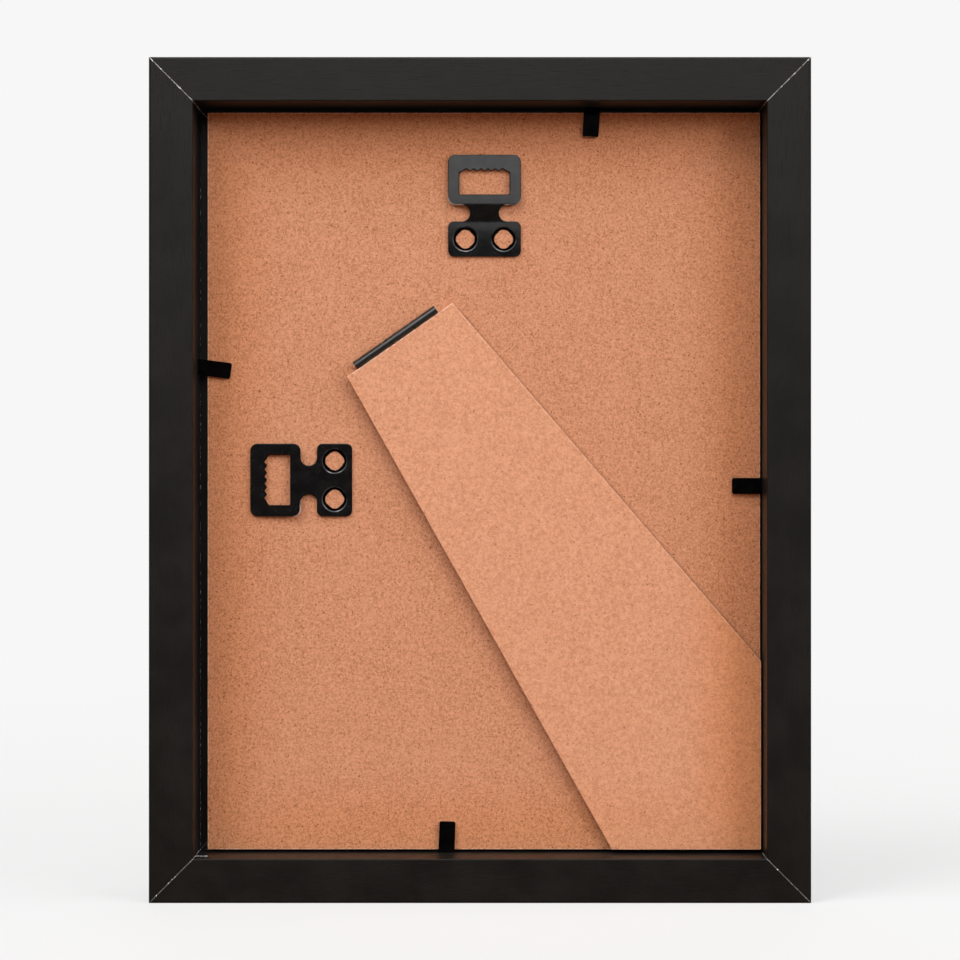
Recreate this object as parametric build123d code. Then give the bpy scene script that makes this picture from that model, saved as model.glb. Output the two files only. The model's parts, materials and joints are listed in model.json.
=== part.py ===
from build123d import *
from math import radians, sqrt, tan
import os

# Photo frame with an easel back, in millimetres.
# It is drawn lying on its face: x to the right and y up as seen from behind, z out of the back,
# the front face at z = 0 and the middle of the frame at x = y = 0.
# At the end each piece is stood up: the glass faces -Y, the back faces +Y, +Z is up and the origin
# is the middle of the underside. Left and right are as seen from behind.

# Picture, glass and back panel, which share one format
picture_width = 180.0
picture_height = 240.0
glass_thickness = 2.0
paper_thickness = 0.3
panel_thickness = 2.5

# Moulding of the four rails
rail_width = 14.2
lip_overhang = 6.1
lip_thickness = 4.2
recess_depth = 11.0
rebate_play_across = 3.6
rebate_play_up = 2.4
outer_arris = 0.8
mouth_arris = 0.4
sight_arris = 1.0
glue_film = 0.3

# Where the loose stack has slid to in its rebate, as shares of the play on one side
slide_right_share = 0.70
slide_down_share = 0.29

# Rounding of the hardboard's corners and of its upper edges
board_corner = 0.25
board_arris = 0.15

# Easel leg: where the middle of its top edge lies, as shares of half the panel, and its lean
leg_across_share = -0.3033
leg_up_share = 0.3817
leg_lean = 35.0
leg_taper = 5.75
leg_top_width = 41.75
leg_thickness = 1.9
foot_inset_side = 0.05
foot_inset_bottom = 0.4

# Hinge of the leg, with one leaf on the panel and the other let into the leg's underside
hinge_length = 32.1
hinge_off_centre = 0.7
hinge_open = 35.0
axis_past_leg = 1.5
pin_diameter = 1.7
pin_clearance = 0.05
pin_chamfer = 0.2
leaf_thickness = 0.5
leaf_gap = 0.05
leaf_length = 20.0
barrel_lift = 0.15
knuckle_gap = 0.15
knuckle_break_shares = (0.355, 0.69)
leaf_relief = 0.3
heel_length = 0.7
heel_clearance = 0.02

# Pierced collars, which clinch the hinge leaves and the hangers into the hardboard
collar_half_flat = 2.8
collar_corner_share = 0.745
collar_wall = 0.4
collar_skin = 0.5
collar_dish = 0.45
leaf_collar_across_share = 0.3
leaf_collar_along_share = 0.62

# Hangers: one for each way up, near the panel's top and left edges, each a little off its middle line
hanger_up_share = 0.6567
hanger_across_share = 0.54
hanger_portrait_right = 0.2
hanger_landscape_up = 0.35
hanger_sheet = 0.6
hanger_width = 23.7
hanger_foot = 11.5
hanger_neck_width = 9.4
hanger_neck_length = 5.2
hanger_raise = 0.9
hanger_tilt = 3.0
hanger_bend = 1.2
hanger_foot_corner = 1.9
hanger_loop_corner = 2.4
hanger_hole_pitch = 12.45
window_height = 7.5
window_side_margin = 3.7
window_near_margin = 3.45
window_far_margin = 4.65
tooth_count = 6
tooth_row_share = 0.857
tooth_depth = 0.9
window_shoulder = 0.5

# Steel tabs: place along each side as a share of half the panel, how much of the strip stands out
# of the wall, and how far it leans from square to the wall in degrees
tab_width = 5.2
tab_thickness = 0.5
tab_length = 16.0
tab_tip = 0.7
tab_lift = 0.4
tab_bend_clearance = 0.1
tab_place_shares = {"top": 0.406, "left": 0.307, "right": -0.016, "bottom": -0.121}
tab_reach_shares = {"top": 0.60, "left": 0.68, "right": 0.615, "bottom": 0.632}
tab_leans = {"top": -3.7, "left": -7.5, "right": 0.0, "bottom": -1.8}

# How far a cutting body runs past what it cuts
overrun = 1.0

# Sizes that follow from the ones above
rebate_width = picture_width + rebate_play_across
rebate_height = picture_height + rebate_play_up
outer_width = rebate_width + 2 * rail_width
outer_height = rebate_height + 2 * rail_width
glass_floor = lip_thickness
paper_floor = glass_floor + glass_thickness
panel_floor = paper_floor + paper_thickness
panel_face = panel_floor + panel_thickness
depth = panel_face + recess_depth
stack_x = slide_right_share * rebate_play_across / 2
stack_y = -slide_down_share * rebate_play_up / 2

knuckle_radius = pin_diameter / 2 + pin_clearance + leaf_thickness
axis_height = barrel_lift + knuckle_radius
leg_floor = leaf_thickness + leaf_gap
leaf_seat = leg_floor + leaf_thickness
relief_edge = axis_past_leg - knuckle_radius - leaf_relief
tab_floor = panel_face + tab_lift

window_width = hanger_width - 2 * window_side_margin
tooth_pitch = tooth_row_share * window_width / tooth_count
hanger_loop = window_near_margin + window_height + tooth_depth + window_far_margin
collar_corner = collar_corner_share * collar_half_flat

# Middle of the leg's top edge on the panel's face; there, local x runs along the hinge line and
# local y runs away from the leg
hinge_at = (
    Pos(
        stack_x + leg_across_share * picture_width / 2,
        stack_y + leg_up_share * picture_height / 2,
        panel_face,
    )
    * Rot(0, 0, leg_lean)
)

# Each hanger's place, midway between its holes on the panel's face, with local y towards the window
hanger_portrait_at = Pos(
    stack_x + hanger_portrait_right, stack_y + hanger_up_share * picture_height / 2, panel_face
)
hanger_landscape_at = Pos(
    stack_x - hanger_across_share * picture_width / 2, stack_y + hanger_landscape_up, panel_face
) * Rot(0, 0, 90)

# The four sides of the rebate: the way into the frame in degrees, and the wall's distance from the middle
side_turns = {"top": -90.0, "left": 0.0, "right": 180.0, "bottom": 90.0}
side_walls = {
    "top": rebate_height / 2,
    "left": rebate_width / 2,
    "right": rebate_width / 2,
    "bottom": rebate_height / 2,
}


def moulding():
    """The moulding as one closed ring, with its rebate and rounded edges, before it is mitred."""
    from_floor = (Align.CENTER, Align.CENTER, Align.MIN)
    ring = Box(outer_width, outer_height, depth, align=from_floor)
    ring -= Pos(0, 0, lip_thickness) * Box(rebate_width, rebate_height, depth, align=from_floor)
    sight_width = rebate_width - 2 * lip_overhang
    sight_height = rebate_height - 2 * lip_overhang
    ring -= Pos(0, 0, -overrun) * Box(sight_width, sight_height, depth, align=from_floor)
    for face_index, inner_radius in ((0, sight_arris), (-1, mouth_arris)):
        face = ring.faces().sort_by(Axis.Z)[face_index]
        ring = fillet(face.outer_wire().edges(), outer_arris)
        face = ring.faces().sort_by(Axis.Z)[face_index]
        ring = fillet(face.inner_wires()[0].edges(), inner_radius)
    return ring


def mitre_slabs():
    """A thin slab through each corner, where the glue of the mitre lies."""
    reach = (rail_width + lip_overhang) * sqrt(2) + overrun
    slab = Box(2 * reach, glue_film, depth + 2 * overrun)
    slabs = []
    for side_x in (-1, 1):
        for side_y in (-1, 1):
            corner = Pos(side_x * outer_width / 2, side_y * outer_height / 2, depth / 2)
            slabs.append(corner * Rot(0, 0, 45 * side_x * side_y) * slab)
    return slabs


def stacked_board(thickness, floor):
    """A sheet of the picture's format, lying in the rebate."""
    sheet = Box(picture_width, picture_height, thickness, align=(Align.CENTER, Align.CENTER, Align.MIN))
    return Pos(stack_x, stack_y, floor) * sheet


def rounded_board(board):
    """A hardboard piece with its corners and its upper edges eased."""
    board = fillet(board.edges().filter_by(Axis.Z), board_corner)
    upper_face = board.faces().sort_by(Axis.Z)[-1]
    return fillet(upper_face.outer_wire().edges(), board_arris)


def collar_outline(half_flat, corner):
    """The four-petalled outline of a pierced hole, standing on one corner."""
    return Rot(0, 0, 45) * RectangleRounded(2 * half_flat, 2 * half_flat, corner)


def collar_hole(sheet):
    """What a pierced hole takes out of a sheet that lies on z = 0, dished at the upper edge."""
    outline = collar_outline(collar_half_flat, collar_corner)
    wide = collar_outline(collar_half_flat + collar_dish, collar_corner + collar_dish)
    hole = Pos(0, 0, -overrun) * extrude(outline, amount=sheet + 2 * overrun)
    dish = loft([Pos(0, 0, sheet - collar_dish) * outline, Pos(0, 0, sheet) * wide])
    return hole + dish


def collar(board_thickness):
    """The petals pushed through a pierced hole, standing down from z = 0 into a board."""
    outer = collar_outline(collar_half_flat + collar_wall, collar_corner + collar_wall)
    inner = collar_outline(collar_half_flat, collar_corner)
    return extrude(outer - inner, amount=collar_skin - board_thickness)


def leg_blank():
    """The leg's tapered board, cut off square to the frame at its two foot edges."""
    reach = picture_width + picture_height
    half_top = leg_top_width / 2
    half_end = half_top + reach * tan(radians(leg_taper))
    taper = make_face(
        Polyline((-half_top, 0), (half_top, 0), (half_end, -reach), (-half_end, -reach), close=True)
    )
    board = hinge_at * Pos(0, 0, leg_floor) * extrude(taper, amount=leg_thickness)
    foot = Box(
        picture_width - 2 * foot_inset_side,
        picture_height - 2 * foot_inset_bottom,
        depth,
        align=(Align.CENTER, Align.CENTER, Align.MIN),
    )
    return rounded_board(board & Pos(stack_x, stack_y, panel_face) * foot)


def knuckle_spans():
    """Start and end of the three knuckles along the hinge line, in the order panel, leg, panel."""
    start = -hinge_length / 2 - hinge_off_centre
    first, second = (start + share * hinge_length for share in knuckle_break_shares)
    half_gap = knuckle_gap / 2
    return [
        (start, first - half_gap),
        (first + half_gap, second - half_gap),
        (second + half_gap, start + hinge_length),
    ]


def knuckle(span, section):
    """A length of barrel along the hinge line, before it is bored."""
    barrel = Plane.YZ * extrude(section, amount=span[1] - span[0])
    return Pos(span[0], axis_past_leg, axis_height) * barrel


def pin_bore():
    """The bore for the pin, right through all the knuckles."""
    bore = Cylinder(pin_diameter / 2 + pin_clearance, hinge_length + 2 * overrun)
    return Pos(-hinge_off_centre, axis_past_leg, axis_height) * Rot(0, 90, 0) * bore


def leaf_plate(tongue_spans, floor):
    """A leaf's flat plate, with a tongue up to the hinge axis at each of its own knuckles."""
    start = -hinge_length / 2 - hinge_off_centre
    from_corner = (Align.MIN, Align.MIN, Align.MIN)
    far_edge = axis_past_leg - leaf_length
    plate = Pos(start, far_edge, floor) * Box(
        hinge_length, relief_edge - far_edge, leaf_thickness, align=from_corner
    )
    for span in tongue_spans:
        tongue = Box(span[1] - span[0], axis_past_leg - relief_edge, leaf_thickness, align=from_corner)
        plate += Pos(span[0], relief_edge, floor) * tongue
    return plate


def leaf_collar_places():
    """The middles of a leaf's two pierced holes."""
    across = leaf_collar_across_share * hinge_length
    along = axis_past_leg - leaf_collar_along_share * leaf_length
    return [Pos(side * across - hinge_off_centre, along, 0) for side in (-1, 1)]


def hinge_panel_leaf():
    """The leaf on the panel: two outer knuckles, a plate and two collars pushed into the panel."""
    first, _, last = knuckle_spans()
    leaf = leaf_plate([first, last], 0)
    for span in (first, last):
        leaf += knuckle(span, Circle(knuckle_radius))
    for place in leaf_collar_places():
        leaf -= place * collar_hole(leaf_thickness)
        leaf += place * collar(panel_thickness)
    return hinge_at * (leaf - pin_bore())


def hinge_leg_leaf():
    """The leaf let into the leg: the middle knuckle with the heel that stops the leg when it is open."""
    middle = knuckle_spans()[1]
    heel_reach = axis_height - heel_clearance
    heel = Pos(heel_length / 2, -heel_reach / 2) * Rectangle(heel_length, heel_reach)
    section = Circle(knuckle_radius) + Rot(0, 0, hinge_open) * heel
    leaf = leaf_plate([middle], leg_floor)
    leaf += knuckle(middle, section)
    for place in leaf_collar_places():
        upside_down = Pos(0, 0, leaf_seat) * place * Rot(180, 0, 0)
        leaf -= upside_down * collar_hole(leaf_thickness)
        leaf += upside_down * collar(leg_thickness - leaf_thickness)
    return hinge_at * (leaf - pin_bore())


def hinge_pin():
    """The pin, as long as the barrel and eased at both ends."""
    pin = chamfer(Cylinder(pin_diameter / 2, hinge_length).edges(), pin_chamfer)
    return hinge_at * Pos(-hinge_off_centre, axis_past_leg, axis_height) * Rot(0, 90, 0) * pin


def window_outline():
    """A hanger's window, with the row of teeth that a nail rests in along its far edge."""
    near = hanger_foot / 2 + hanger_neck_length + window_near_margin
    far = near + window_height
    half_row = tooth_count * tooth_pitch / 2
    shoulder = far - window_shoulder
    points = [(-window_width / 2, near), (window_width / 2, near), (window_width / 2, shoulder)]
    for tooth in range(tooth_count):
        notch = half_row - (tooth + 1 / 2) * tooth_pitch
        points.append((notch, far + tooth_depth))
        if tooth < tooth_count - 1:
            points.append((notch - tooth_pitch / 2, far))
    points.append((-window_width / 2, shoulder))
    return make_face(Polyline(*points, close=True))


def hanger_outline():
    """A hanger seen flat on: foot, waisted neck, loop and window."""
    neck_round = hanger_neck_length / 2
    neck_middle = hanger_foot / 2 + neck_round
    loop_middle = hanger_foot / 2 + hanger_neck_length + hanger_loop / 2
    outline = RectangleRounded(hanger_width, hanger_foot, hanger_foot_corner)
    outline += Pos(0, loop_middle) * RectangleRounded(hanger_width, hanger_loop, hanger_loop_corner)
    outline += Pos(0, neck_middle) * Rectangle(hanger_neck_width + hanger_neck_length, hanger_neck_length)
    for side in (-1, 1):
        outline -= Pos(side * (hanger_neck_width / 2 + neck_round), neck_middle) * Circle(neck_round)
    return outline - window_outline()


def hanger_side():
    """A hanger seen from the side, as the middle line of its bent sheet."""
    rise = hanger_sheet / 2
    neck_start = hanger_foot / 2
    neck_end = neck_start + hanger_neck_length
    droop = hanger_loop * tan(radians(hanger_tilt))
    return FilletPolyline(
        (-hanger_foot / 2 - overrun, rise),
        (neck_start, rise),
        (neck_end, rise + hanger_raise),
        (neck_end + hanger_loop + overrun, rise + hanger_raise - droop),
        radius=hanger_bend,
    )


def hanger_places():
    """The middles of a hanger's two pierced holes."""
    return [Pos(side * hanger_hole_pitch / 2, 0, 0) for side in (-1, 1)]


def hanger():
    """A hanger: one bent and pierced stamping with its collars."""
    bent = Plane.YZ * trace(hanger_side(), line_width=hanger_sheet)
    sheet = extrude(bent, amount=hanger_width, both=True)
    height = hanger_raise + 2 * hanger_sheet
    piece = sheet & extrude(hanger_outline(), amount=height)
    for place in hanger_places():
        piece -= place * collar_hole(hanger_sheet)
        piece += place * collar(panel_thickness)
    return piece


def tab_at(side):
    """A tab's place at the rebate's wall: local x runs along the strip, away from the wall."""
    half_length = (picture_width if side in ("top", "bottom") else picture_height) / 2
    place = tab_place_shares[side] * half_length
    wall = side_walls[side]
    spots = {"top": (place, wall), "left": (-wall, place), "right": (wall, place), "bottom": (place, -wall)}
    x, y = spots[side]
    return Pos(x, y, tab_floor + tab_thickness / 2) * Rot(0, 0, side_turns[side] + tab_leans[side])


def tab_strip(start, end):
    """A straight length of a tab's strip."""
    strip = Box(end - start, tab_width, tab_thickness, align=(Align.MIN, Align.CENTER, Align.CENTER))
    return Pos(start, 0, 0) * strip


def tab_pivot(side):
    """How far the bend of a tab stands off the wall, so that its corners clear the wall."""
    skew = tab_width / 2 * tan(radians(abs(tab_leans[side])))
    return tab_bend_clearance + tab_thickness / 2 + skew


def tab_root(side, rail):
    """The part of a tab that is driven into its rail, flush with the wall."""
    sunk = (1 - tab_reach_shares[side]) * tab_length
    return rail & (tab_at(side) * tab_strip(-sunk, overrun))


def tab_flap(side):
    """The part of a tab that is bent over the panel, with its bend at the wall and a rounded tip."""
    pivot = tab_pivot(side)
    reach = tab_reach_shares[side] * tab_length
    flap = tab_strip(pivot, reach)
    flap = fillet(flap.edges().filter_by(Axis.Z).group_by(Axis.X)[-1], tab_tip)
    flap += Pos(pivot, 0, 0) * Rot(90, 0, 0) * Cylinder(tab_thickness / 2, tab_width)
    return tab_at(side) * flap


def build():
    """Every piece by name, lying on its face."""
    ring = moulding()
    slabs = mitre_slabs()
    rails = (ring - slabs).solids()
    pieces = {
        "rail_top": rails.sort_by(Axis.Y)[-1],
        "rail_bottom": rails.sort_by(Axis.Y)[0],
        "rail_left": rails.sort_by(Axis.X)[0],
        "rail_right": rails.sort_by(Axis.X)[-1],
        "mitre_glue": Compound(children=[(ring & slab).solid() for slab in slabs]),
        "glass_pane": stacked_board(glass_thickness, glass_floor),
        "picture_insert": stacked_board(paper_thickness, paper_floor),
        "back_panel": rounded_board(stacked_board(panel_thickness, panel_floor)),
        "easel_leg": leg_blank(),
        "hinge_panel_leaf": hinge_panel_leaf(),
        "hinge_leg_leaf": hinge_leg_leaf(),
        "hinge_pin": hinge_pin(),
        "hanger_portrait": hanger_portrait_at * hanger(),
        "hanger_landscape": hanger_landscape_at * hanger(),
    }
    for clinched in ("hinge_panel_leaf", "hanger_portrait", "hanger_landscape"):
        pieces["back_panel"] -= pieces[clinched]
    pieces["easel_leg"] -= pieces["hinge_leg_leaf"]
    for side in side_turns:
        rail = "rail_" + side
        pieces["tab_root_" + side] = tab_root(side, pieces[rail])
        pieces[rail] -= pieces["tab_root_" + side]
        pieces["tab_" + side] = tab_flap(side)
    return pieces


# Stand the frame up and write one file for each piece
stand_up = Plane(origin=(0, -depth / 2, outer_height / 2), x_dir=(-1, 0, 0), z_dir=(0, 1, 0))
os.makedirs("parts", exist_ok=True)
for name, piece in build().items():
    export_step(stand_up * piece, f"parts/{name}.step")
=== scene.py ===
import json
import random
from math import cos, pi, radians, sin, sqrt, tan

import bmesh
import bpy
from mathutils import Matrix, Vector


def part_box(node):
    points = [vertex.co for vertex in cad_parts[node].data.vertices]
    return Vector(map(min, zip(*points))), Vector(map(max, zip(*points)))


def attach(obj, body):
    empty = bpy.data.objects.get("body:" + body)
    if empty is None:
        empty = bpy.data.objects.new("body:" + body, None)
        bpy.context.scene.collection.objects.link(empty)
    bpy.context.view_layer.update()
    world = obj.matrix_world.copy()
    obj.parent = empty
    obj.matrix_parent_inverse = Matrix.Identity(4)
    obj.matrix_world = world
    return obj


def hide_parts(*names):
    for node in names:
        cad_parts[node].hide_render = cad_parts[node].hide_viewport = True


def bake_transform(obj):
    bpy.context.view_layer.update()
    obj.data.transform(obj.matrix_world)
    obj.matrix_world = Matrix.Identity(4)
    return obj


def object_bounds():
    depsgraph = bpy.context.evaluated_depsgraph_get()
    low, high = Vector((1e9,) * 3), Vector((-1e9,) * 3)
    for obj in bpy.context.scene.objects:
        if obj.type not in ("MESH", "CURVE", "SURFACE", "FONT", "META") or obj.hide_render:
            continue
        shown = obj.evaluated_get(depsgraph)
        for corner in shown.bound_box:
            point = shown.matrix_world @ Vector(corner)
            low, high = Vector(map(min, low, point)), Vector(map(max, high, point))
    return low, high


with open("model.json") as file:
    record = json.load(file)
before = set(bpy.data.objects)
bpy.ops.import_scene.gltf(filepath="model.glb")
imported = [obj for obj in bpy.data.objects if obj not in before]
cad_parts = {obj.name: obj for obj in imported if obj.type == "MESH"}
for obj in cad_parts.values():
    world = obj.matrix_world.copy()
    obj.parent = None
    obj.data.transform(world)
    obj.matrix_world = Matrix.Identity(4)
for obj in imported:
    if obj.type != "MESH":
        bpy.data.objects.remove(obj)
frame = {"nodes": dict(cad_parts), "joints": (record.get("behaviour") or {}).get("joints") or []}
cad_low, cad_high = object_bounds()
cad_nodes = frame["nodes"]
joints = {joint["name"]: joint for joint in frame["joints"]}

# Looks of an easel back photo frame, in metres. The back faces +Y, +Z is up and the origin is the
# middle of the underside. Left and right are as seen from behind. Sizes of stamped sheet are in
# millimetres and are scaled when the piece is placed.
mm = 0.001
centre = (cad_low + cad_high) / 2
panel_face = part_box("back_panel")[1].y
left, right = Vector((1, 0, 0)), Vector((-1, 0, 0))
up, down = Vector((0, 0, 1)), Vector((0, 0, -1))
out_of_back = Vector((0, 1, 0))
crisp_angle = radians(40)

# Camera: straight behind the frame
camera_distance = 0.580
sensor_width = 36.0
view_width = 0.3069

# Studio: what the camera sees, what shiny faces see, and the light that comes from all round
pale = (0.930, 0.930, 0.930, 1)
dim_room = (0.030, 0.029, 0.030, 1)
dim_floor = (0.060, 0.044, 0.032, 1)
ambient = (0.030, 0.013, 0.005, 1)
floor_bounce = (0.270, 0.110, 0.040, 1)
floor_lit = (0.58, 0.58, 0.58, 1)
floor_half = 4.0
floor_shade_share = 0.35
floor_shade_start = 0.20
floor_shade_end = 0.70
floor_dim_start = -1.2
floor_dim_end = 0.0
room_dim_start = -0.45
room_dim_end = 0.05
lamp_distance = 3.6

# Lamps: azimuth and elevation in degrees, width and height in metres, how bright they look, and
# whether shiny faces mirror them
lamps = {
    "softbox_left": (-57.4, 52.6, 1.62, 2.62, 9.6, False),
    "softbox_right": (72.8, 24.0, 3.73, 1.28, 10.5, False),
    "softbox_top": (0, 45.4, 3.02, 4.40, 1.47, True),
    "front_fill": (180, 35, 3.60, 2.80, 1.6, True),
}

# Moulding
rail_width = 14.2 * mm
lip_thickness = 4.2 * mm

# Hangers, in millimetres
hanger_sheet = 0.6
hanger_width = 23.7
hanger_foot = 11.5
neck_width = 9.4
neck_length = 5.2
window_width = 16.3
window_near_margin = 3.45
window_height = 7.5
window_far_margin = 4.65
tooth_count = 6
tooth_pitch = 2.328
tooth_depth = 0.9
window_shoulder = 0.5
hanger_loop = window_near_margin + window_height + tooth_depth + window_far_margin
hanger_raise = 0.9
hanger_tilt = 3.0
neck_bend = 0.55
foot_bow = 0.13
bow_cut_share = 0.98
foot_corner = 1.9
loop_corner = 2.4
waist_share = 0.98
window_corner = 0.3
tooth_corner = 0.08
sheet_arris = 0.22
window_arris = 0.25
hole_pitch = 12.45
hole_half_flat = 2.93
hole_corner = 2.45
hole_rim = 4.25
collar_wall = 0.4
collar_depth = 2.0
torn_lip = 0.10
torn_throat = 0.03
# Where the loop's lower corners are worn and painted pale as a highlight
worn_highlit_side_share = 0.55
worn_highlit_reach_share = 1.2
worn_highlit_slack = 0.1
hole_steps = 64
corner_steps = 6
bend_cuts = 7
bow_cuts = 9

# The materials of a stamped sheet, in order: faces, pale edges with a painted highlight, worn rims, dark
# edges
paint_sheet, paint_edge_highlight, paint_rim, paint_dark = range(4)

# The dished rim of a hole, from its outer edge inwards: shares of its radius, and of the sheet that it
# has sunk
rim_shares = [(1.00, 0.00), (0.98, 0.02), (0.945, 0.09), (0.91, 0.20), (0.89, 0.50), (0.875, 0.90)]
rim_wave_share = 0.006

# Waves round the torn edge of a hole: how many, how high as a share of its radius, and how they turn
torn_waves = [(3, 0.022, 1.0), (5, 0.026, 2.3), (9, 0.022, 4.1), (14, 0.014, 1.7)]

# Tabs, in millimetres
tab_tip = 0.7
tab_arris = 0.08
tab_cut_share = 0.75

# Leg, and the shade painted on the panel along its right edge, where the leg rests
leg_taper = 5.75
shade_line_width = 2.2 * mm
shade_line_under = 2.0 * mm
shade_line_fade = 3.0 * mm
shade_line_share = 0.45

# Hardboard: how ragged and wide its rims are, how pale each edge is with its painted highlight, how much
# shade of the rails is painted beside it, and how strongly fibres and specks show
rim_ragged = 1.1 * mm
rim_start = 0.60 * mm
rim_end = 0.90 * mm
panel_rim_share = 0.85
hinge_rim_share = 1.0
long_rim_share = 0.45
foot_rim_share = 0.58
rail_shade_start = 3.0 * mm
rail_shade_end = 30.0 * mm
panel_rail_shade_share = 1.0
side_foot_rail_shade_share = 1.5
low_foot_rail_shade_share = 0.6
fibre_share = 0.28
panel_speck_share = 0.80
leg_speck_share = 0.56

# Glass
glass_air = 0.05 * mm
glass_arris = 0.25 * mm

# Glue that was squeezed out, in millimetres: a bead of drops, and crumbs that reach up the wall
bead_start = 0.2
bead_length = 3.6
bead_depth = 4.2
bead_drop_lengths = (0.35, 0.6)
bead_drop_sizes = (0.26, 0.34)
crumbs_start = 1.5
crumbs_reach = 225.0
crumb_lengths = (0.12, 0.8)
crumb_sizes = (0.08, 0.17)
least_crumb_gap = 0.05
low_crumb_gap = 1.0
crumb_gap_growth = 1 / 60

# Heights between which the glue in the mitres gets paler, in metres
glue_dark_height = 0.05
glue_pale_margin = 0.02

# Colours of the finishes
board_light = (0.712, 0.337, 0.196, 1)
board_dark = (0.494, 0.208, 0.105, 1)
leg_light = (0.770, 0.379, 0.228, 1)
leg_dark = (0.618, 0.277, 0.151, 1)
cut_board = (0.170, 0.070, 0.032, 1)
# Painted shade of the rails on the board
rail_shade_tint = (0.985, 0.90, 0.78, 1)
board_fibre = (0.92, 0.54, 0.35, 1)
board_speck = (0.19, 0.045, 0.012, 1)
# Painted shade beside the edge that the leg rests on
board_painted_shade = (0.20, 0.070, 0.030, 1)
# Pale rims: frayed fibres and a painted highlight
board_rim_highlight = (0.96, 0.62, 0.46, 1)
foil_dark = (0.0060, 0.0050, 0.0042, 1)
foil_light = (0.0105, 0.0090, 0.0078, 1)
foil_pore = (0.0025, 0.0020, 0.0016, 1)
lacquer_dark = (0.0012, 0.0010, 0.0010, 1)
lacquer_light = (0.0028, 0.0024, 0.0024, 1)
lacquer_rub = (0.016, 0.016, 0.017, 1)
bare_steel = (0.62, 0.59, 0.60, 1)
# Pale sheared edges and worn corners: bare steel and a painted highlight
worn_edge_highlight = (0.66, 0.58, 0.54, 1)
glue_dark = (0.050, 0.045, 0.042, 1)
glue_light = (0.46, 0.46, 0.47, 1)
glue_chip = (0.72, 0.70, 0.70, 1)
glass_tint = (0.965, 0.985, 0.975, 1)
glass_clear = (0.99, 0.995, 0.99, 1)
paper_warm = (0.86, 0.845, 0.81, 1)
paper_white = (0.90, 0.895, 0.88, 1)


# Shader nodes


def put(tree, kind, inputs=(), **settings):
    """A shader node; an input that is given a socket is linked, any other is set."""
    made = tree.nodes.new("ShaderNode" + kind)
    for name, value in settings.items():
        setattr(made, name, value)
    for name, value in dict(inputs).items():
        if isinstance(value, bpy.types.NodeSocket):
            tree.links.new(value, made.inputs[name])
        else:
            made.inputs[name].default_value = value
    return made


def calc(tree, operation, first, second=0.0):
    """One step of arithmetic."""
    return put(tree, "Math", {0: first, 1: second}, operation=operation).outputs[0]


def weighted(tree, *terms):
    """The sum of values that are each given with a weight."""
    total = None
    for value, weight in terms:
        term = calc(tree, "MULTIPLY", value, weight)
        total = term if total is None else calc(tree, "ADD", total, term)
    return total


def ramp(tree, value, start, end, low=0.0, high=1.0):
    """A value that eases from low to high as another goes from start to end."""
    inputs = {"Value": value, "From Min": start, "From Max": end, "To Min": low, "To Max": high}
    return put(tree, "MapRange", inputs, interpolation_type="SMOOTHSTEP").outputs[0]


def mix(tree, share, first, second):
    """Two colours mixed."""
    return put(tree, "Mix", {0: share, 6: first, 7: second}, data_type="RGBA").outputs[2]


def tinted(tree, share, colour, tint):
    """A colour multiplied by a tint; a share above 1 tints it more strongly."""
    inputs = {0: share, 6: (1, 1, 1, 1), 7: tint}
    shade = put(tree, "Mix", inputs, data_type="RGBA", clamp_factor=False).outputs[2]
    inputs = {0: 1.0, 6: colour, 7: shade}
    return put(tree, "Mix", inputs, data_type="RGBA", blend_type="MULTIPLY").outputs[2]


def inside_edge(tree, place, normal, offset):
    """How far inside a straight edge a point lies; offset is the edge's distance from the origin."""
    along = put(tree, "VectorMath", {0: place, 1: normal}, operation="DOT_PRODUCT").outputs["Value"]
    return calc(tree, "SUBTRACT", offset, along)


def noise(tree, place, scale, detail=2.0, rough=0.55):
    """A noise from 0 to 1, about a half on average."""
    inputs = {"Vector": place, "Scale": scale, "Detail": detail, "Roughness": rough}
    return put(tree, "TexNoise", inputs).outputs[0]


def stretched(tree, place, scale, turn=0.0):
    """Coordinates turned in the plane of the back and then scaled along each axis."""
    turned = put(tree, "Mapping", {"Vector": place, "Rotation": (0, radians(turn), 0)})
    return put(tree, "Mapping", {"Vector": turned.outputs[0], "Scale": scale}).outputs[0]


def object_place(tree):
    """The piece's own coordinates, in metres."""
    return put(tree, "TexCoord").outputs["Object"]


def effect(name, outputs):
    """An empty node group with named outputs, and its output node."""
    tree = bpy.data.node_groups.new(name, "ShaderNodeTree")
    for label in outputs:
        tree.interface.new_socket(label, in_out="OUTPUT", socket_type="NodeSocketFloat")
    return tree, tree.nodes.new("NodeGroupOutput")


def use_effect(tree, group):
    """The outputs of a node group placed in a material."""
    made = tree.nodes.new("ShaderNodeGroup")
    made.node_tree = group
    return made.outputs


def new_material(name):
    """A material with its node tree, its shader and its output, ready to be linked."""
    material = bpy.data.materials.new(name)
    material.use_nodes = True
    tree = material.node_tree
    tree.nodes.clear()
    shader = put(tree, "BsdfPrincipled")
    surface = put(tree, "OutputMaterial", {"Surface": shader.outputs[0]})
    return material, tree, shader, surface


def relief(tree, shader, height, distance):
    """A fine relief on a shader."""
    bump = put(tree, "Bump", {"Height": height, "Distance": distance, "Strength": 1.0})
    tree.links.new(bump.outputs[0], shader.inputs["Normal"])


# Effects that more than one finish uses


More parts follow.
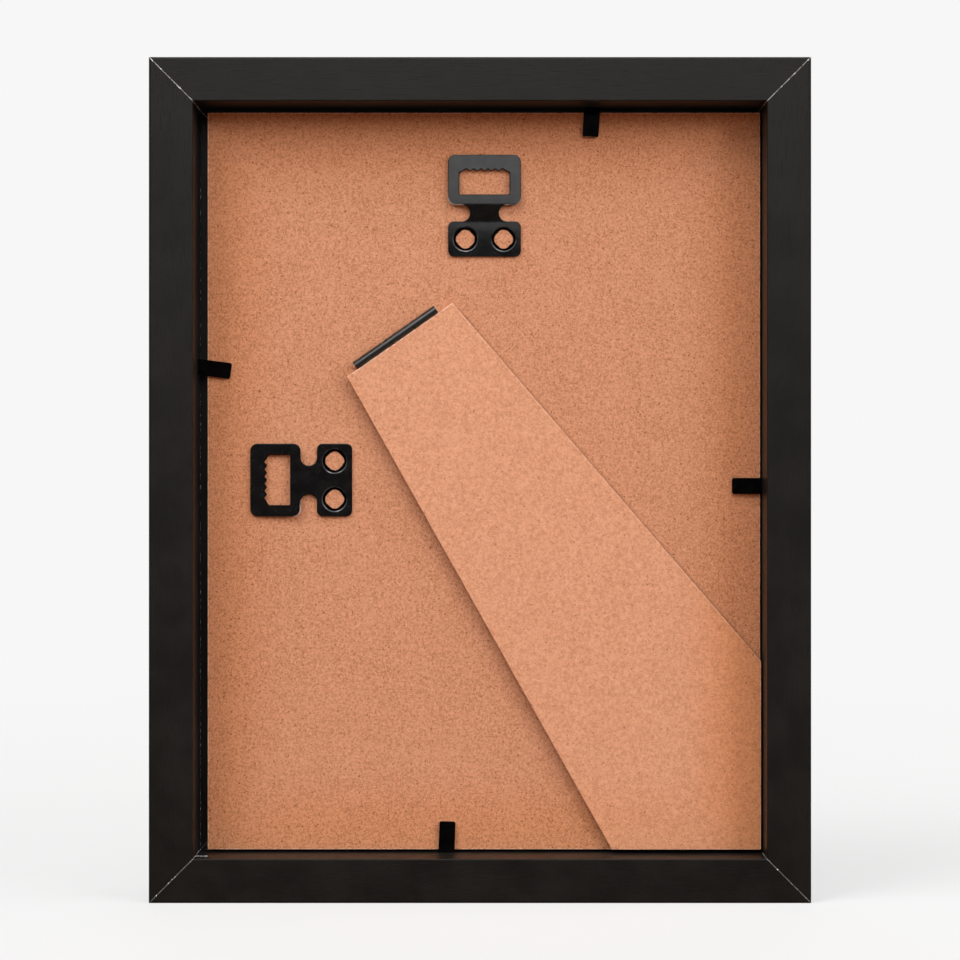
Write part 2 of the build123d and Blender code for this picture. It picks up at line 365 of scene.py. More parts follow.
def speck_layer(tree, place, cells, least, most, turn, stretch):
    """Scattered specks, one in each cell, of uneven size and darkness."""
    turned = stretched(tree, place, (cells, 0, cells * stretch), turn)
    parts = put(tree, "SeparateXYZ", {0: turned}).outputs
    flat = put(tree, "CombineXYZ", {0: parts["X"], 1: parts["Z"]}).outputs[0]
    cell = put(tree, "TexVoronoi", {"Vector": flat, "Scale": 1.0}, voronoi_dimensions="2D").outputs
    chance = put(tree, "SeparateColor", {"Color": cell["Color"]}).outputs
    size = weighted(tree, (calc(tree, "POWER", chance[0], 2.0), most - least), (least, 1.0))
    spot = ramp(tree, cell["Distance"], calc(tree, "MULTIPLY", size, 0.4), size, 1.0, 0.0)
    spot = calc(tree, "MULTIPLY", spot, ramp(tree, chance[2], 0.22, 0.27))
    return calc(tree, "MULTIPLY", spot, ramp(tree, chance[1], 0.0, 0.8, 0.35, 1.0))


def board_fibres():
    """Hardboard: its tone, the pale fibres and dark specks in it, and its relief."""
    tree, made = effect("board_fibres", ("Tone", "Fibre", "Speck", "Height"))
    place = object_place(tree)
    fine = noise(tree, place, 2300, detail=1.0)
    grains = noise(tree, place, 1050, detail=2.0)
    flecks = noise(tree, place, 430, detail=2.0)
    clouds = noise(tree, place, 60, detail=3.0)
    tone = weighted(tree, (fine, 0.42), (grains, 0.38), (flecks, 0.13), (clouds, 0.07))

    fibres = None
    for turn in (8, 52, 101, 149):
        streak = noise(tree, stretched(tree, place, (420, 900, 2900), turn), 1.0, detail=1.0)
        streak = ramp(tree, streak, 0.64, 0.72)
        fibres = streak if fibres is None else calc(tree, "MAXIMUM", fibres, streak)

    wobble = put(tree, "TexNoise", {"Vector": place, "Scale": 1500.0, "Detail": 1.0}).outputs["Color"]
    wobble = put(tree, "VectorMath", {0: wobble, 1: (0.45 * mm,) * 3}, operation="MULTIPLY").outputs[0]
    moved = put(tree, "VectorMath", {0: place, 1: wobble}, operation="ADD").outputs[0]
    specks = None
    for cells, least, most, turn, stretch in (
        (190, 0.012, 0.070, 20, 1.0),
        (150, 0.010, 0.100, 75, 4.2),
        (150, 0.010, 0.100, 140, 4.2),
        (430, 0.055, 0.170, 0, 1.0),
    ):
        layer = speck_layer(tree, moved, cells, least, most, turn, stretch)
        specks = layer if specks is None else calc(tree, "MAXIMUM", specks, layer)

    height = weighted(tree, (tone, 1.0), (fibres, 0.35), (specks, -0.4))
    for label, value in (("Tone", tone), ("Fibre", fibres), ("Speck", specks), ("Height", height)):
        tree.links.new(value, made.inputs[label])
    return tree


def lacquer_skin():
    """Stoved lacquer: orange peel and slow waves in the sheet, uneven gloss and a few fine rubs."""
    tree, made = effect("lacquer_skin", ("Gloss", "Rub", "Peel", "Wave"))
    place = object_place(tree)
    rubs = None
    for turn in (25, 118):
        rub = noise(tree, stretched(tree, place, (160, 4200, 4200), turn), 1.0, detail=1.0)
        rub = ramp(tree, rub, 0.66, 0.78)
        rubs = rub if rubs is None else calc(tree, "MAXIMUM", rubs, rub)
    tree.links.new(noise(tree, place, 260, detail=3.0), made.inputs["Gloss"])
    tree.links.new(rubs, made.inputs["Rub"])
    tree.links.new(noise(tree, place, 1500, detail=1.0), made.inputs["Peel"])
    tree.links.new(noise(tree, place, 130, detail=1.0), made.inputs["Wave"])
    return tree


# Finishes


def painted_shade_beside(tree, place, line, top):
    """A narrow band of painted shade outside a straight edge that rests on the board, up to a height."""
    inside = inside_edge(tree, place, *line)
    near = calc(tree, "POWER", ramp(tree, inside, -shade_line_width, 0.0), 3.0)
    under = ramp(tree, inside, 0.0, shade_line_under, 1.0, 0.0)
    height = put(tree, "SeparateXYZ", {0: place}).outputs["Z"]
    below = ramp(tree, height, top - shade_line_fade, top, shade_line_share, 0.0)
    return calc(tree, "MULTIPLY", near, calc(tree, "MULTIPLY", below, under))


def hardboard(name, fibres, light, dark, speck_share, rims, resting=None):
    """Bare hardboard: pale frayed rims and painted highlight, dark cut edges, painted shade near the rails.
    """
    material, tree, shader, _ = new_material(name)
    fibre = use_effect(tree, fibres)
    tone = calc(tree, "POWER", ramp(tree, fibre["Tone"], 0.40, 0.60), 0.7)
    colour = mix(tree, tone, dark, light)
    colour = mix(tree, calc(tree, "MULTIPLY", fibre["Fibre"], fibre_share), colour, board_fibre)
    colour = mix(tree, calc(tree, "MULTIPLY", fibre["Speck"], speck_share), colour, board_speck)
    place = object_place(tree)
    fray = calc(tree, "MULTIPLY", noise(tree, place, 1100, detail=2.0), rim_ragged)
    rail_shade, rim = None, None
    for normal, offset, rim_share, rail_shade_share in rims:
        inside = inside_edge(tree, place, normal, offset)
        frayed_highlight = ramp(tree, calc(tree, "ADD", inside, fray), rim_start, rim_end, rim_share, 0.0)
        shade_here = ramp(tree, inside, rail_shade_start, rail_shade_end, rail_shade_share, 0.0)
        rail_shade = shade_here if rail_shade is None else calc(tree, "MAXIMUM", rail_shade, shade_here)
        rim = frayed_highlight if rim is None else calc(tree, "MAXIMUM", rim, frayed_highlight)
    # Painted shade of the rails: the board is darker and redder near them
    colour = tinted(tree, rail_shade, colour, rail_shade_tint)
    # Painted shade beside the edge that the leg rests on, standing in for its contact shadow
    if resting:
        colour = mix(tree, painted_shade_beside(tree, place, *resting), colour, board_painted_shade)
    # Pale rims, partly frayed fibres and partly a painted highlight along the edges
    colour = mix(tree, rim, colour, board_rim_highlight)
    facing = put(tree, "SeparateXYZ", {0: put(tree, "TexCoord").outputs["Normal"]}).outputs["Y"]
    cut = ramp(tree, calc(tree, "ABSOLUTE", facing), 0.45, 0.85, 0.9, 0.0)
    cut = calc(tree, "MULTIPLY", cut, ramp(tree, rim, 0.86, 1.0, 1.0, 0.0))
    colour = mix(tree, cut, colour, cut_board)
    tree.links.new(colour, shader.inputs["Base Color"])
    tree.links.new(ramp(tree, fibre["Tone"], 0.3, 0.7, 0.92, 0.74), shader.inputs["Roughness"])
    shader.inputs["Specular IOR Level"].default_value = 0.15
    relief(tree, shader, fibre["Height"], 0.05 * mm)
    return material


def black_foil(name, grain_scale):
    """Satin black foil with a fine wood grain embossed along the rail."""
    material, tree, shader, _ = new_material(name)
    place = object_place(tree)
    grain = noise(tree, stretched(tree, place, grain_scale), 1.0, detail=3.0, rough=0.6)
    fine_scale = tuple(2.2 * scale for scale in grain_scale)
    pores = ramp(tree, noise(tree, stretched(tree, place, fine_scale), 1.0, detail=1.0), 0.60, 0.70)
    mottle = noise(tree, place, 70, detail=3.0)
    colour = mix(tree, ramp(tree, mottle, 0.3, 0.7), foil_dark, foil_light)
    colour = mix(tree, calc(tree, "MULTIPLY", pores, 0.6), colour, foil_pore)
    tree.links.new(colour, shader.inputs["Base Color"])
    gloss = ramp(tree, mottle, 0.25, 0.75, 0.40, 0.48)
    rough = calc(tree, "ADD", gloss, calc(tree, "MULTIPLY", pores, 0.12))
    tree.links.new(rough, shader.inputs["Roughness"])
    shader.inputs["Specular IOR Level"].default_value = 0.44
    relief(tree, shader, weighted(tree, (grain, 1.0), (pores, -0.5)), 0.025 * mm)
    return material


def lacquered_steel(name, skin, gloss, index, wave):
    """Black lacquered steel sheet; a higher index mirrors more, and wave is its waviness in millimetres."""
    material, tree, shader, _ = new_material(name)
    coat = use_effect(tree, skin)
    colour = mix(tree, ramp(tree, coat["Gloss"], 0.3, 0.7), lacquer_dark, lacquer_light)
    colour = mix(tree, calc(tree, "MULTIPLY", coat["Rub"], 0.25), colour, lacquer_rub)
    tree.links.new(colour, shader.inputs["Base Color"])
    rough = ramp(tree, coat["Gloss"], 0.25, 0.75, gloss - 0.04, gloss + 0.05)
    rough = calc(tree, "ADD", rough, calc(tree, "MULTIPLY", coat["Rub"], 0.10))
    tree.links.new(rough, shader.inputs["Roughness"])
    shader.inputs["IOR"].default_value = index
    relief(tree, shader, weighted(tree, (coat["Peel"], 0.006), (coat["Wave"], wave)), mm)
    return material


def worn_steel(name, skin, steel, most_bare, metal):
    """Bare steel through thin lacquer on a sheared edge or worn rim; a pale edge is also a painted
    highlight.
    """
    material, tree, shader, _ = new_material(name)
    coat = use_effect(tree, skin)
    bare = ramp(tree, coat["Gloss"], 0.40, 0.62, most_bare / 4, most_bare)
    tree.links.new(mix(tree, bare, lacquer_light, steel), shader.inputs["Base Color"])
    shader.inputs["Metallic"].default_value = metal
    tree.links.new(ramp(tree, coat["Rub"], 0.0, 1.0, 0.34, 0.46), shader.inputs["Roughness"])
    relief(tree, shader, weighted(tree, (coat["Peel"], 0.012), (coat["Wave"], 0.02)), mm)
    return material


def dried_glue(name, lowest, highest):
    """Dried glue with chips of pale wood; how pale it is goes from lowest to highest up the frame."""
    material, tree, shader, _ = new_material(name)
    place = object_place(tree)
    height = put(tree, "SeparateXYZ", {0: place}).outputs["Z"]
    paleness = ramp(tree, height, glue_dark_height, cad_high.z - glue_pale_margin, lowest, highest)
    mottle = ramp(tree, noise(tree, place, 900, detail=3.0), 0.38, 0.58, 0.30, 1.0)
    patches = calc(tree, "MULTIPLY", paleness, mottle)
    chips = ramp(tree, noise(tree, place, 700, detail=1.0), 0.60, 0.66)
    colour = mix(tree, patches, glue_dark, glue_light)
    colour = mix(tree, chips, colour, glue_chip)
    tree.links.new(colour, shader.inputs["Base Color"])
    tree.links.new(ramp(tree, patches, 0.0, 1.0, 0.75, 0.55), shader.inputs["Roughness"])
    relief(tree, shader, chips, 0.03 * mm)
    return material


def clear_glass(name):
    """Polished float glass, faintly green, which lets light through to what lies behind it."""
    material, tree, shader, surface = new_material(name)
    haze = noise(tree, object_place(tree), 35, detail=4.0)
    tree.links.new(mix(tree, haze, glass_tint, glass_clear), shader.inputs["Base Color"])
    tree.links.new(ramp(tree, haze, 0.3, 0.8, 0.0, 0.02), shader.inputs["Roughness"])
    shader.inputs["Transmission Weight"].default_value = 1.0
    shader.inputs["IOR"].default_value = 1.5
    light_path = put(tree, "LightPath")
    through = put(tree, "BsdfTransparent")
    either = put(tree, "MixShader", {
        0: light_path.outputs["Is Shadow Ray"], 1: shader.outputs[0], 2: through.outputs[0],
    })
    tree.links.new(either.outputs[0], surface.inputs["Surface"])
    return material


def plain_paper(name):
    """Matt white paper with a fine tooth."""
    material, tree, shader, _ = new_material(name)
    place = object_place(tree)
    tooth = noise(tree, place, 2600, detail=2.0)
    cloud = noise(tree, place, 90, detail=3.0)
    colour = mix(tree, ramp(tree, cloud, 0.3, 0.7), paper_warm, paper_white)
    tree.links.new(colour, shader.inputs["Base Color"])
    tree.links.new(ramp(tree, tooth, 0.2, 0.8, 0.8, 0.92), shader.inputs["Roughness"])
    shader.inputs["Specular IOR Level"].default_value = 0.2
    relief(tree, shader, tooth, 0.01 * mm)
    return material


# Meshes


def rounded_points(corners, rounds):
    """The points of a closed outline with its corners rounded, in order."""
    drawing = bmesh.new()
    drawing.faces.new([drawing.verts.new((x, y, 0)) for x, y in corners])
    for radius in sorted(set(rounds)):
        spots = [Vector((x, y, 0)) for (x, y), r in zip(corners, rounds) if r == radius]
        chosen = [v for v in drawing.verts if min((v.co - spot).length for spot in spots) < 1e-7]
        bmesh.ops.bevel(
            drawing, geom=chosen, offset=radius, offset_type="OFFSET", affect="VERTICES",
            segments=corner_steps, profile=0.5, material=-1,
        )
    drawing.faces.ensure_lookup_table()
    points = [v.co.xy.copy() for v in drawing.faces[0].verts]
    drawing.free()
    return points


def add_loop(bm, points, height):
    """A closed loop of edges at one height."""
    verts = [bm.verts.new((point[0], point[1], height)) for point in points]
    return [bm.edges.new((verts[i - 1], verts[i])) for i in range(len(verts))]


def join_loops(bm, loops):
    """Bridges each loop to the next, and returns the bands of faces."""
    return [bmesh.ops.bridge_loops(bm, edges=a + b)["faces"] for a, b in zip(loops, loops[1:])]


def paint(faces, index):
    """Gives faces one of the piece's materials."""
    for face in faces:
        face.material_index = index


def sheet_rim(bm, outline, sheet, arris, edge_paint, arris_paint):
    """The eased edge of a stamped sheet all along an outline; returns its lower and upper loops.

    One material is given to the cut edge; a function of the place gives the one for the upper arris."""
    eased = (1 - sqrt(0.5)) * arris
    steps = [(arris, 0), (eased, eased), (0, arris)]
    levels = steps + [(inset, sheet - height) for inset, height in reversed(steps)]
    loops = [add_loop(bm, outline(inset), height) for inset, height in levels]
    bands = join_loops(bm, loops)
    paint(bands[2], edge_paint)
    for band in bands[3:]:
        for face in band:
            face.material_index = arris_paint(face.calc_center_median())
    return loops[0], loops[-1]


def fill_sheet(bm, loops):
    """A flat face with holes, between loops that lie in one plane, with a crisp border."""
    edges = [edge for loop in loops for edge in loop]
    bmesh.ops.triangle_fill(bm, edges=edges, use_beauty=True, use_dissolve=False, normal=(0, 0, 1))
    for edge in edges:
        edge.smooth = False


def cut_across(bm, axis, places):
    """Cuts the whole mesh across an axis, so that it can be bent there."""
    normal = Vector((axis == 0, axis == 1, 0))
    for place in places:
        geometry = bm.verts[:] + bm.edges[:] + bm.faces[:]
        bmesh.ops.bisect_plane(bm, geom=geometry, plane_co=place * normal, plane_no=normal, dist=1e-6)


def spread(middle, half, count):
    """Evenly spaced places on both sides of a middle."""
    return [middle + half * (2 * step / (count - 1) - 1) for step in range(count)]


def make_piece(bm, name, materials, place):
    """A finished mesh as an object that sits at the origin, with its place in the mesh."""
    bmesh.ops.remove_doubles(bm, verts=bm.verts[:], dist=1e-5)
    bm.transform(place)
    bmesh.ops.recalc_face_normals(bm, faces=bm.faces[:])
    for face in bm.faces:
        face.smooth = True
    for edge in bm.edges:
        if edge.calc_face_angle(0.0) > crisp_angle:
            edge.smooth = False
    mesh = bpy.data.meshes.new(name)
    bm.to_mesh(mesh)
    bm.free()
    for material in materials:
        mesh.materials.append(material)
    piece = bpy.data.objects.new(name, mesh)
    bpy.context.scene.collection.objects.link(piece)
    return piece


def placed(x_axis, y_axis, origin):
    """The place of a piece drawn in millimetres, flat on the panel, with z out of the back."""
    turn = Matrix((x_axis, y_axis, out_of_back)).transposed().to_4x4()
    return Matrix.Translation(origin) @ turn @ Matrix.Scale(mm, 4)


# Hangers


def hanger_outline(inset):
    """The outer edge of a hanger: foot, waisted neck and loop."""
    half = hanger_width / 2 - inset
    neck = neck_width / 2 - inset
    foot = hanger_foot / 2 - inset
    loop = hanger_foot / 2 + neck_length + inset
    end = hanger_foot / 2 + neck_length + hanger_loop - inset
    waist = waist_share * (neck_length / 2 + inset)
    right_side = [(half, -foot), (half, foot), (neck, foot), (neck, loop), (half, loop), (half, end)]
    left_side = [(-x, y) for x, y in reversed(right_side)]
    rounds = [foot_corner - inset] * 2 + [waist] * 2 + [loop_corner - inset] * 2
    return rounded_points(right_side + left_side, rounds + rounds[::-1])


def window_outline(inset):
    """The window of a hanger, with a row of teeth along its far edge."""
    near = hanger_foot / 2 + neck_length + window_near_margin - inset
    far = hanger_foot / 2 + neck_length + window_near_margin + window_height + inset
    half = window_width / 2 + inset
    shoulder = far - window_shoulder
    corners = [(-half, near), (half, near), (half, shoulder)]
    rounds = [window_corner] * 3
    first = (tooth_count - 1) / 2 * tooth_pitch
    for tooth in range(tooth_count):
        notch = first - tooth * tooth_pitch
        corners.append((notch, far + tooth_depth))
        rounds.append(tooth_corner)
        if tooth < tooth_count - 1:
            corners.append((notch - tooth_pitch / 2, far))
            rounds.append(tooth_corner)
    corners.append((-half, shoulder))
    rounds.append(window_corner)
    return rounded_points(corners, rounds)


def petal_radius(angle, half_flat, corner):
    """How far a square with rounded corners, standing on one corner, reaches at an angle."""
    turn = (angle + pi / 4) % (pi / 2) - pi / 4
    straight = half_flat - corner
    lean = pi / 4 - abs(pi / 4 - abs(turn))
    if tan(pi / 4 - lean) * half_flat <= straight:
        return half_flat / cos(pi / 4 - lean)
    middle = straight * sqrt(2)
    return middle * cos(lean) + sqrt(corner ** 2 - (middle * sin(lean)) ** 2)


def hole_loop(bm, middle, radius_at, height):
    """A loop round a hole, with its radius given as a function of the angle."""
    angles = [2 * pi * step / hole_steps for step in range(hole_steps)]
    points = [(middle + radius_at(a) * cos(a), radius_at(a) * sin(a)) for a in angles]
    return add_loop(bm, points, height)


def pierced_hole(bm, middle, ragged):
    """A hole pushed through the foot: its dished and worn rim, its petals and the collar in the panel.

    Returns the loops where the rim meets the lower and the upper face of the sheet."""
    def petals(grow):
        def radius_at(angle):
            wobble = sum(high * sin(count * angle + turn * ragged) for count, high, turn in torn_waves)
            return (petal_radius(angle, hole_half_flat, hole_corner) + grow) * (1 + wobble)
        return radius_at

    def ring(share, sink):
        def radius_at(angle):
            return share * hole_rim * (1 + rim_wave_share * sin(4 * angle + ragged))
        return radius_at, hanger_sheet * (1 - sink)

    worn_from, worn_to = 1, 3
    profile = [ring(share, sink) for share, sink in rim_shares]
    profile += [
        (petals(torn_lip), 0.1 * hanger_sheet), (petals(torn_throat), 0), (petals(0), -0.2 * hanger_sheet),
        (petals(0), -collar_depth), (petals(collar_wall), -collar_depth),
        (petals(collar_wall), -0.1 * hanger_sheet), ring(0.95, 1.0),
    ]
    loops = [hole_loop(bm, middle, radius_at, height) for radius_at, height in profile]
    bands = join_loops(bm, loops)
    for band in bands[worn_from:worn_to]:
        paint(band, paint_rim)
    for band in bands[worn_to:]:
        paint(band, paint_dark)
    return loops[-1], loops[0]


def sheet_rise(y):
    """How far the bowed and bent sheet has risen at a distance from the middle of the foot."""
    slopes = [0, hanger_raise / neck_length, -tan(radians(hanger_tilt))]
    bends = [hanger_foot / 2, hanger_foot / 2 + neck_length]
    rise = foot_bow * max(0, 1 - (2 * y / hanger_foot) ** 2)
    for bend, before, after in zip(bends, slopes, slopes[1:]):
        past = y - bend
        if past > neck_bend:
            rise += (after - before) * past
        elif past > -neck_bend:
            rise += (after - before) * (past + neck_bend) ** 2 / (4 * neck_bend)
    return rise


def hanger(node, place, ragged, worn_highlit_sides):
    """A hanger: one stamped, pierced and bent sheet; the loop's lower corners are worn, with a painted
    highlight, on some sides.
    """
    loop = hanger_foot / 2 + neck_length

    # Worn lower corners of the loop, painted pale partly as a highlight
    def worn_corner_highlight(point):
        beside = any(side * point.x > worn_highlit_side_share * hanger_width / 2 for side in worn_highlit_sides)
        near = loop - worn_highlit_slack < point.y < loop + worn_highlit_reach_share * loop_corner
        return paint_edge_highlight if beside and near else paint_sheet

    def dark_all_round(point):
        return paint_dark

    bm = bmesh.new()
    borders = [
        sheet_rim(bm, hanger_outline, hanger_sheet, sheet_arris, paint_edge_highlight, worn_corner_highlight),
        sheet_rim(bm, window_outline, hanger_sheet, window_arris, paint_dark, dark_all_round),
    ]
    borders += [pierced_hole(bm, side * hole_pitch / 2, ragged + side) for side in (-1, 1)]
    fill_sheet(bm, [lower for lower, _ in borders])
    fill_sheet(bm, [upper for _, upper in borders])
    cut_across(bm, 1, spread(0, bow_cut_share * hanger_foot / 2, bow_cuts))
    for bend in (hanger_foot / 2, hanger_foot / 2 + neck_length):
        cut_across(bm, 1, spread(bend, neck_bend, bend_cuts))
    for vert in bm.verts:
        vert.co.z += sheet_rise(vert.co.y)
    piece = make_piece(bm, f"{node}_sheet", [hanger_steel, steel_edge_highlight, steel_rim, tab_steel], place)
    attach(piece, "frame")
    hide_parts(node)


def both_hangers():
    """The upright hanger near the top edge and the one on its side near the left edge."""
    low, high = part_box("hanger_portrait")
    foot_middle = Vector(((low.x + high.x) / 2, panel_face, low.z + hanger_foot / 2 * mm))
    hanger("hanger_portrait", placed(right, up, foot_middle), ragged=0.4, worn_highlit_sides=(-1, 1))
    low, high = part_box("hanger_landscape")
    foot_middle = Vector((low.x + hanger_foot / 2 * mm, panel_face, (low.z + high.z) / 2))
    hanger("hanger_landscape", placed(up, left, foot_middle), ragged=2.9, worn_highlit_sides=(-1,))


# Tabs


def reach(node, origin, direction):
    """The least and the greatest distance of a CAD node's points from an origin, in one direction."""
    distances = [(vert.co - origin).dot(direction) for vert in cad_nodes[node].data.vertices]
    return min(distances), max(distances)


def tab(side):
    """A tab as one strip, cut across where it leaves the rebate's wall."""
    joint = joints[f"tab_{side}_bend"]
    pivot = Vector(joint["pos_m"])
    along = out_of_back.cross(Vector(joint["axis"])).normalized()
    across = out_of_back.cross(along)
    flap, root = f"tab_{side}", f"tab_root_{side}"
    start = reach(root, pivot, along)[0] / mm
    tip = reach(flap, pivot, along)[1] / mm
    half = reach(flap, pivot, across)[1] / mm
    sheet = 2 * reach(flap, pivot, out_of_back)[1] / mm

    def outline(inset):
        corners = [(start + inset, -half + inset), (tip - inset, -half + inset)]
        corners += [(x, -y) for x, y in reversed(corners)]
        return rounded_points(corners, [2 * tab_arris, tab_tip, tab_tip, 2 * tab_arris])

    # The top tab's tip is painted pale along its end, as a highlight
    def tip_highlight(point):
        highlit = side == "top" and point.x > tip - 1.5 * tab_arris and abs(point.y) < half - tab_tip
        return paint_edge_highlight if highlit else paint_sheet

    bm = bmesh.new()
    lower, upper = sheet_rim(bm, outline, sheet, tab_arris, paint_sheet, tip_highlight)
    fill_sheet(bm, [lower])
    fill_sheet(bm, [upper])
    cut_across(bm, 0, spread(0, tab_cut_share * sheet, bend_cuts))
    place = placed(along, across, pivot - out_of_back * sheet / 2 * mm)
    piece = make_piece(bm, f"{flap}_strip", [tab_steel, steel_edge_highlight], place)
    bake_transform(piece)
    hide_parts(root, flap)


# Glass and glue


def glass_sheet():
    """The glass, with arrised edges and a hair's breadth of air before the paper."""
    low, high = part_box("glass_pane")
    air = Vector((0, glass_air, 0))
    size = high - low - air
    middle = (low + high - air) / 2
    bm = bmesh.new()
    bmesh.ops.create_cube(bm, size=1, matrix=Matrix.Diagonal(size).to_4x4())
    bmesh.ops.bevel(
        bm, geom=bm.edges[:], offset=glass_arris, offset_type="OFFSET", affect="EDGES",
        segments=1, profile=0.5, material=-1,
    )
    piece = make_piece(bm, "glass_sheet", [glass], Matrix.Translation(middle))
    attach(piece, "frame")
    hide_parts("glass_pane")


def add_drop(bm, middle, half_sizes):
    """A small drop of dried glue, with its middle and its half sizes in millimetres."""
    shape = Matrix.Translation(middle) @ Matrix.Diagonal(half_sizes).to_4x4()
    bmesh.ops.create_icosphere(bm, subdivisions=2, radius=1, matrix=shape)


def squeezed_glue():
    """Glue squeezed out of a mitre: a bead on the bottom wall and crumbs up the left wall's foot."""
    draw = random.Random(4)
    corner = Vector((cad_high.x - rail_width, cad_low.y + lip_thickness, cad_low.z + rail_width))
    recess = (cad_high.y - corner.y) / mm
    bm = bmesh.new()
    along = bead_start
    while along < bead_length:
        length = draw.uniform(*bead_drop_lengths)
        thick = draw.uniform(*bead_drop_sizes)
        add_drop(bm, Vector((-along - length / 2, recess - bead_depth, 0)), Vector((length, thick, thick)))
        along += length
    height = crumbs_start
    while height < crumbs_reach:
        length = draw.uniform(*crumb_lengths)
        thick = draw.uniform(*crumb_sizes)
        add_drop(bm, Vector((0, 0, height)), Vector((thick, thick, length)))
        height += 2 * length + draw.uniform(least_crumb_gap, low_crumb_gap + crumb_gap_growth * height)
    place = Matrix.Translation(corner) @ Matrix.Scale(mm, 4)
    piece = make_piece(bm, "squeezed_glue", [pale_glue], place)
    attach(piece, "frame")


# Edges of the hardboard


def rim_lines(node, edges):
    """Straight edges of a board: normal, distance from the origin, pale rim and painted shade shares."""
    points = [vert.co for vert in cad_nodes[node].data.vertices]
    return [
        (normal, max(point.dot(normal) for point in points), rim_share, rail_shade_share)
        for normal, rim_share, rail_shade_share in edges
    ]


def leg_edges():
    """The leg's hinge edge, right long edge and two foot edges: normals, pale rim and painted shade shares.
    """
    axis = Vector(joints["leg_hinge"]["axis"])
    long_edge = Matrix.Rotation(radians(leg_taper), 3, out_of_back) @ -axis
    return [
        (axis.cross(out_of_back), hinge_rim_share, 0.0),
        (long_edge, long_rim_share, 0.0),
        (right, foot_rim_share, side_foot_rail_shade_share),
        (down, foot_rim_share, low_foot_rail_shade_share),
    ]


# Stage


def look_at(thing, target):
    """Turns a lamp or a camera towards a point."""
    thing.rotation_euler = (target - thing.location).to_track_quat("-Z", "Y").to_euler()


def from_centre(azimuth, elevation, distance):
    """A point round the frame; azimuth 0 is straight behind it and 90 is on its right."""
    turn, lift = radians(azimuth), radians(elevation)
    return centre + distance * Vector((-sin(turn) * cos(lift), cos(turn) * cos(lift), sin(lift)))


def softbox(name, azimuth, elevation, width, height, glow, mirrored):
    """A large soft lamp that faces the frame; its face looks as bright as glow times a white sheet."""
    lamp = bpy.data.lights.new(name, "AREA")
    lamp.shape = "RECTANGLE"
    lamp.size = width
    lamp.size_y = height
    lamp.energy = pi * glow * width * height
    placed_lamp = bpy.data.objects.new(name, lamp)
    placed_lamp.location = from_centre(azimuth, elevation, lamp_distance)
    placed_lamp.visible_camera = False
    placed_lamp.visible_glossy = mirrored
    bpy.context.scene.collection.objects.link(placed_lamp)
    look_at(placed_lamp, centre)


def studio_world():
    """A pale background; shiny faces see it dim behind the frame and overhead."""
    world = bpy.data.worlds.new("studio")
    bpy.context.scene.world = world
    world.use_nodes = True
    tree = world.node_tree
    tree.nodes.clear()
    path = put(tree, "LightPath").outputs
    direction = put(tree, "SeparateXYZ", {0: put(tree, "TexCoord").outputs["Generated"]}).outputs
    dim = ramp(tree, direction["Y"], room_dim_start, room_dim_end)
    dim = calc(tree, "MULTIPLY", dim, path["Is Glossy Ray"])
    shown = put(tree, "Background", {"Color": mix(tree, dim, pale, dim_room)}).outputs[0]
    light = put(tree, "Background", {"Color": ambient}).outputs[0]
    either = put(tree, "MixShader", {0: path["Is Diffuse Ray"], 1: shown, 2: light}).outputs[0]
    put(tree, "OutputWorld", {"Surface": either})


def pale_floor():
    """A pale floor that keeps the frame's shadow; shiny faces see it dim behind the frame."""
    bm = bmesh.new()
    bmesh.ops.create_grid(bm, x_segments=8, y_segments=8, size=floor_half)
    material = bpy.data.materials.new("pale_floor")
    material.use_nodes = True
    tree = material.node_tree
    tree.nodes.clear()
    path = put(tree, "LightPath").outputs
    place = object_place(tree)
    away = put(tree, "VectorMath", {0: place}, operation="LENGTH").outputs["Value"]
    share = ramp(tree, away, floor_shade_start, floor_shade_end, floor_shade_share, 0.0)
    glow = put(tree, "Emission", {"Color": pale}).outputs[0]
    lit = put(tree, "BsdfDiffuse", {"Color": floor_lit}).outputs[0]
    shown = put(tree, "MixShader", {0: share, 1: glow, 2: lit}).outputs[0]
    bounce = put(tree, "Emission", {"Color": floor_bounce}).outputs[0]
    either = put(tree, "MixShader", {0: path["Is Diffuse Ray"], 1: shown, 2: bounce}).outputs[0]
    depth = put(tree, "SeparateXYZ", {0: place}).outputs["Y"]
    dim = mix(tree, ramp(tree, depth, floor_dim_start, floor_dim_end), pale, dim_floor)
    mirrored = put(tree, "Emission", {"Color": dim}).outputs[0]
    surface = put(tree, "MixShader", {0: path["Is Glossy Ray"], 1: either, 2: mirrored}).outputs[0]
    put(tree, "OutputMaterial", {"Surface": surface})
    make_piece(bm, "floor", [material], Matrix.Identity(4))


def camera():
    """The camera, level and straight behind the middle of the frame."""
    lens = bpy.data.cameras.new("camera")
    lens.sensor_width = sensor_width
    lens.lens = sensor_width * camera_distance / view_width
    lens.clip_start = 0.01
    placed_camera = bpy.data.objects.new("camera", lens)
    placed_camera.location = (centre.x, cad_high.y + camera_distance, centre.z)
    bpy.context.scene.collection.objects.link(placed_camera)
    look_at(placed_camera, centre)
    bpy.context.scene.camera = placed_camera


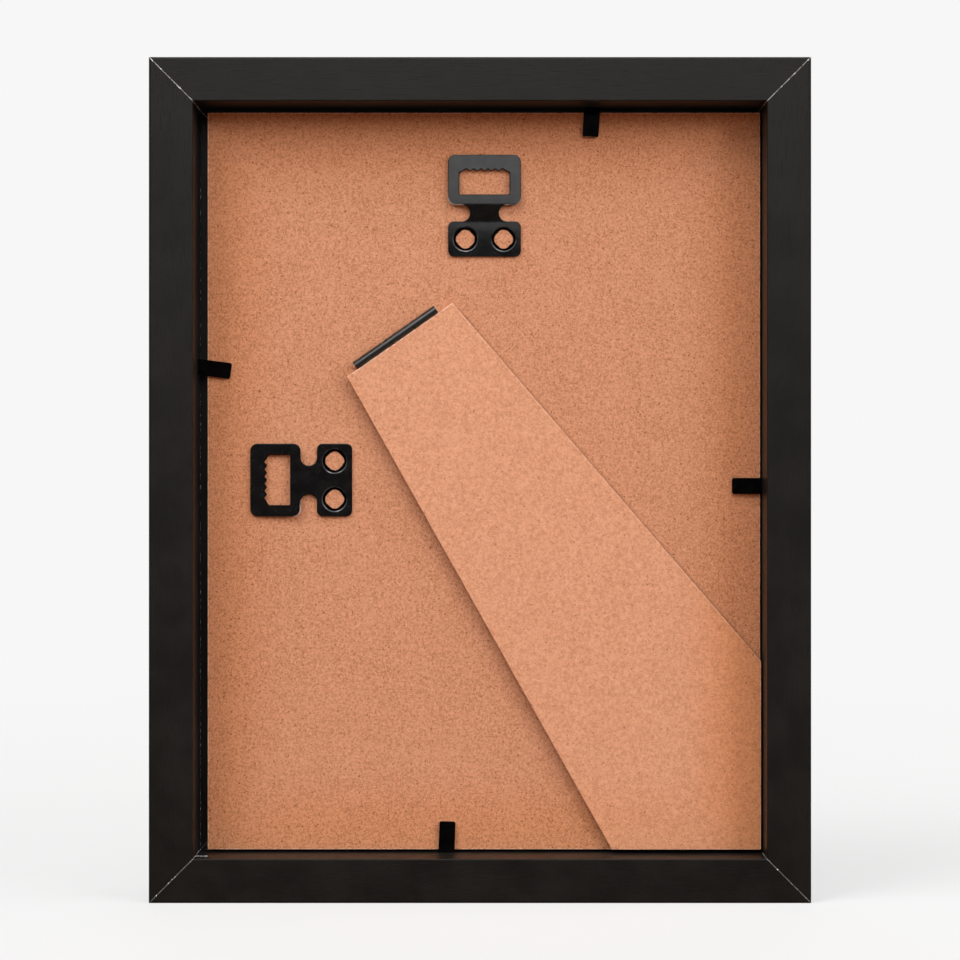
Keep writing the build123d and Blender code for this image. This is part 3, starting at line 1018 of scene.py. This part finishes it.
# The finishes, made once
fibres = board_fibres()
skin = lacquer_skin()
leg_rims = rim_lines("easel_leg", leg_edges())
panel_edges = [(side, panel_rim_share, panel_rail_shade_share) for side in (left, right, up, down)]
panel_rims = rim_lines("back_panel", panel_edges)
# The leg's right edge, beside which shade is painted on the panel
resting_edge = (leg_rims[1][:2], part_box("easel_leg")[1].z)
leg_board = hardboard("leg_board", fibres, leg_light, leg_dark, leg_speck_share, leg_rims)
panel_board = hardboard(
    "panel_board", fibres, board_light, board_dark, panel_speck_share, panel_rims, resting_edge
)
foil_across = black_foil("black_foil_across", grain_scale=(95, 2300, 2300))
foil_up = black_foil("black_foil_up", grain_scale=(2300, 2300, 95))
hanger_steel = lacquered_steel("hanger_steel", skin, gloss=0.20, index=1.66, wave=0.01)
tab_steel = lacquered_steel("tab_steel", skin, gloss=0.18, index=1.12, wave=0.01)
hinge_steel = lacquered_steel("hinge_steel", skin, gloss=0.29, index=2.50, wave=0.05)
# Pale sheared edges: bare steel, brightened as a painted highlight
steel_edge_highlight = worn_steel("sheared_edge_highlight", skin, worn_edge_highlight, most_bare=1.0, metal=0.0)
steel_rim = worn_steel("worn_rim", skin, bare_steel, most_bare=0.60, metal=1.0)
glue = dried_glue("dried_glue", lowest=0.26, highest=0.62)
pale_glue = dried_glue("squeezed_glue", lowest=0.95, highest=0.95)
glass = clear_glass("clear_glass")
paper = plain_paper("plain_paper")

# The pieces that keep their CAD shape
finishes = {
    "rail_top": foil_across, "rail_bottom": foil_across, "rail_left": foil_up, "rail_right": foil_up,
    "mitre_glue": glue, "picture_insert": paper, "back_panel": panel_board, "easel_leg": leg_board,
    "hinge_panel_leaf": hinge_steel, "hinge_leg_leaf": hinge_steel, "hinge_pin": hinge_steel,
}
for name, material in finishes.items():
    cad_nodes[name].data.materials.clear()
    cad_nodes[name].data.materials.append(material)

# The pieces that are modelled here
both_hangers()
for side in ("top", "left", "right", "bottom"):
    tab(side)
glass_sheet()
squeezed_glue()

# The stage
for name, settings in lamps.items():
    softbox(name, *settings)
studio_world()
pale_floor()
camera()
bpy.context.scene.view_settings.view_transform = "Standard"
